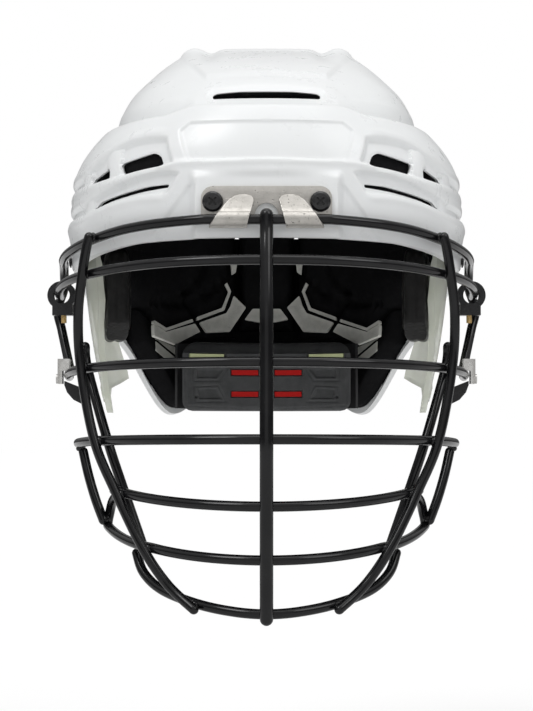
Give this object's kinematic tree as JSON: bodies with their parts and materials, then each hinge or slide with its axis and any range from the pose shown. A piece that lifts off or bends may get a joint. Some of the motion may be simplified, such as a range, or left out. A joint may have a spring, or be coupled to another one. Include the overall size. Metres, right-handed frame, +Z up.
{
  "type": "helmet with wire face mask",
  "caption": "Two-part sport helmet with foam lining, whose welded wire face mask is hinged under the brow by a steel clip and swings up",
  "frame": {"origin": "On the wearer's head, in the plane of symmetry, at the level of the ear canals and between them", "axes": "The wearer faces -Y, +X is the wearer's left, +Z is up"},
  "size_m": [0.2388, 0.3002, 0.3057],
  "materials": {
    "shell_white": "glossy, lightly scuffed",
    "clip_steel": "worn, brushed",
    "screw_black": "satin black",
    "nut_steel": "zinc plated",
    "foam_black": "closed-cell foam, matte",
    "temple_leather": "smooth, slightly creased",
    "guard_clear": "clear, lime-tinted",
    "panel_grey": "smooth grey lining",
    "plastic_black": "moulded",
    "nape_grey": "soft moulded pad, matte",
    "mount_grey": "moulded",
    "insert_red": "moulded",
    "strip_lime": "pale green",
    "strap_black": "smooth",
    "screw_brass": "plain",
    "clip_nickel": "nickel plated",
    "bumper_rubber": "ribbed",
    "wire_black": "gloss black coating"
  },
  "bodies": {
    "helmet": {"front_shell": "shell_white", "hinge_clip": "clip_steel", "clip_screws": "screw_black", "clip_nuts": "nut_steel", "forehead_pad": "foam_black", "crown_pad_front": "foam_black", "side_pad_left": "foam_black", "side_pad_right": "foam_black", "temple_pad_left": "temple_leather", "temple_pad_right": "temple_leather", "temple_mounts": "mount_grey", "ear_guard_left": "guard_clear", "ear_guard_right": "guard_clear", "guard_screws_left": "screw_black", "guard_screws_right": "screw_black", "guard_nuts": "nut_steel", "snap_stud_left": "nut_steel", "snap_stud_right": "nut_steel"},
    "rear": {"rear_shell": "shell_white", "crown_pad_rear": "foam_black", "rear_pad_left": "foam_black", "rear_pad_right": "foam_black", "rear_pad_centre": "foam_black", "rear_pad_panels": "panel_grey", "nape_pad_left": "foam_black", "nape_pad_right": "foam_black", "size_screws_left": "screw_black", "size_screws_right": "screw_black", "size_nuts": "nut_steel", "nape_bracket": "plastic_black"},
    "nape": {"nape_carrier": "plastic_black", "nape_pad": "nape_grey", "nape_inserts": "insert_red", "nape_strips": "strip_lime"},
    "mask": {"centre_bar": "wire_black", "top_frame_wire": "wire_black", "brow_wire": "wire_black", "eye_wire": "wire_black", "cheek_wire": "wire_black", "mouth_wire": "wire_black", "jaw_wire": "wire_black", "chin_wire": "wire_black", "side_bar_left": "wire_black", "side_bar_right": "wire_black", "rear_bar_left": "wire_black", "rear_bar_right": "wire_black", "jaw_brace_left": "wire_black", "jaw_brace_right": "wire_black", "strap_loop_left": "strap_black", "strap_loop_right": "strap_black", "loop_screw_left": "screw_brass", "loop_screw_right": "screw_brass", "side_clip_left": "clip_nickel", "side_clip_right": "clip_nickel", "clip_bumper_left": "bumper_rubber", "clip_bumper_right": "bumper_rubber"}
  },
  "joints": [
    {"name": "mask_hinge", "type": "hinge", "parent": "helmet", "child": "mask", "pos_m": [0, -0.124, 0.039], "axis": [-1, 0, 0], "range_deg": [0, 80]},
    {"name": "size_slide", "type": "slide", "parent": "helmet", "child": "rear", "axis": [0, 1, 0], "range_m": [0, 0.012]},
    {"name": "nape_slide", "type": "slide", "parent": "rear", "child": "nape", "axis": [0, 0, -1], "range_m": [0, 0.01]}
  ]
}
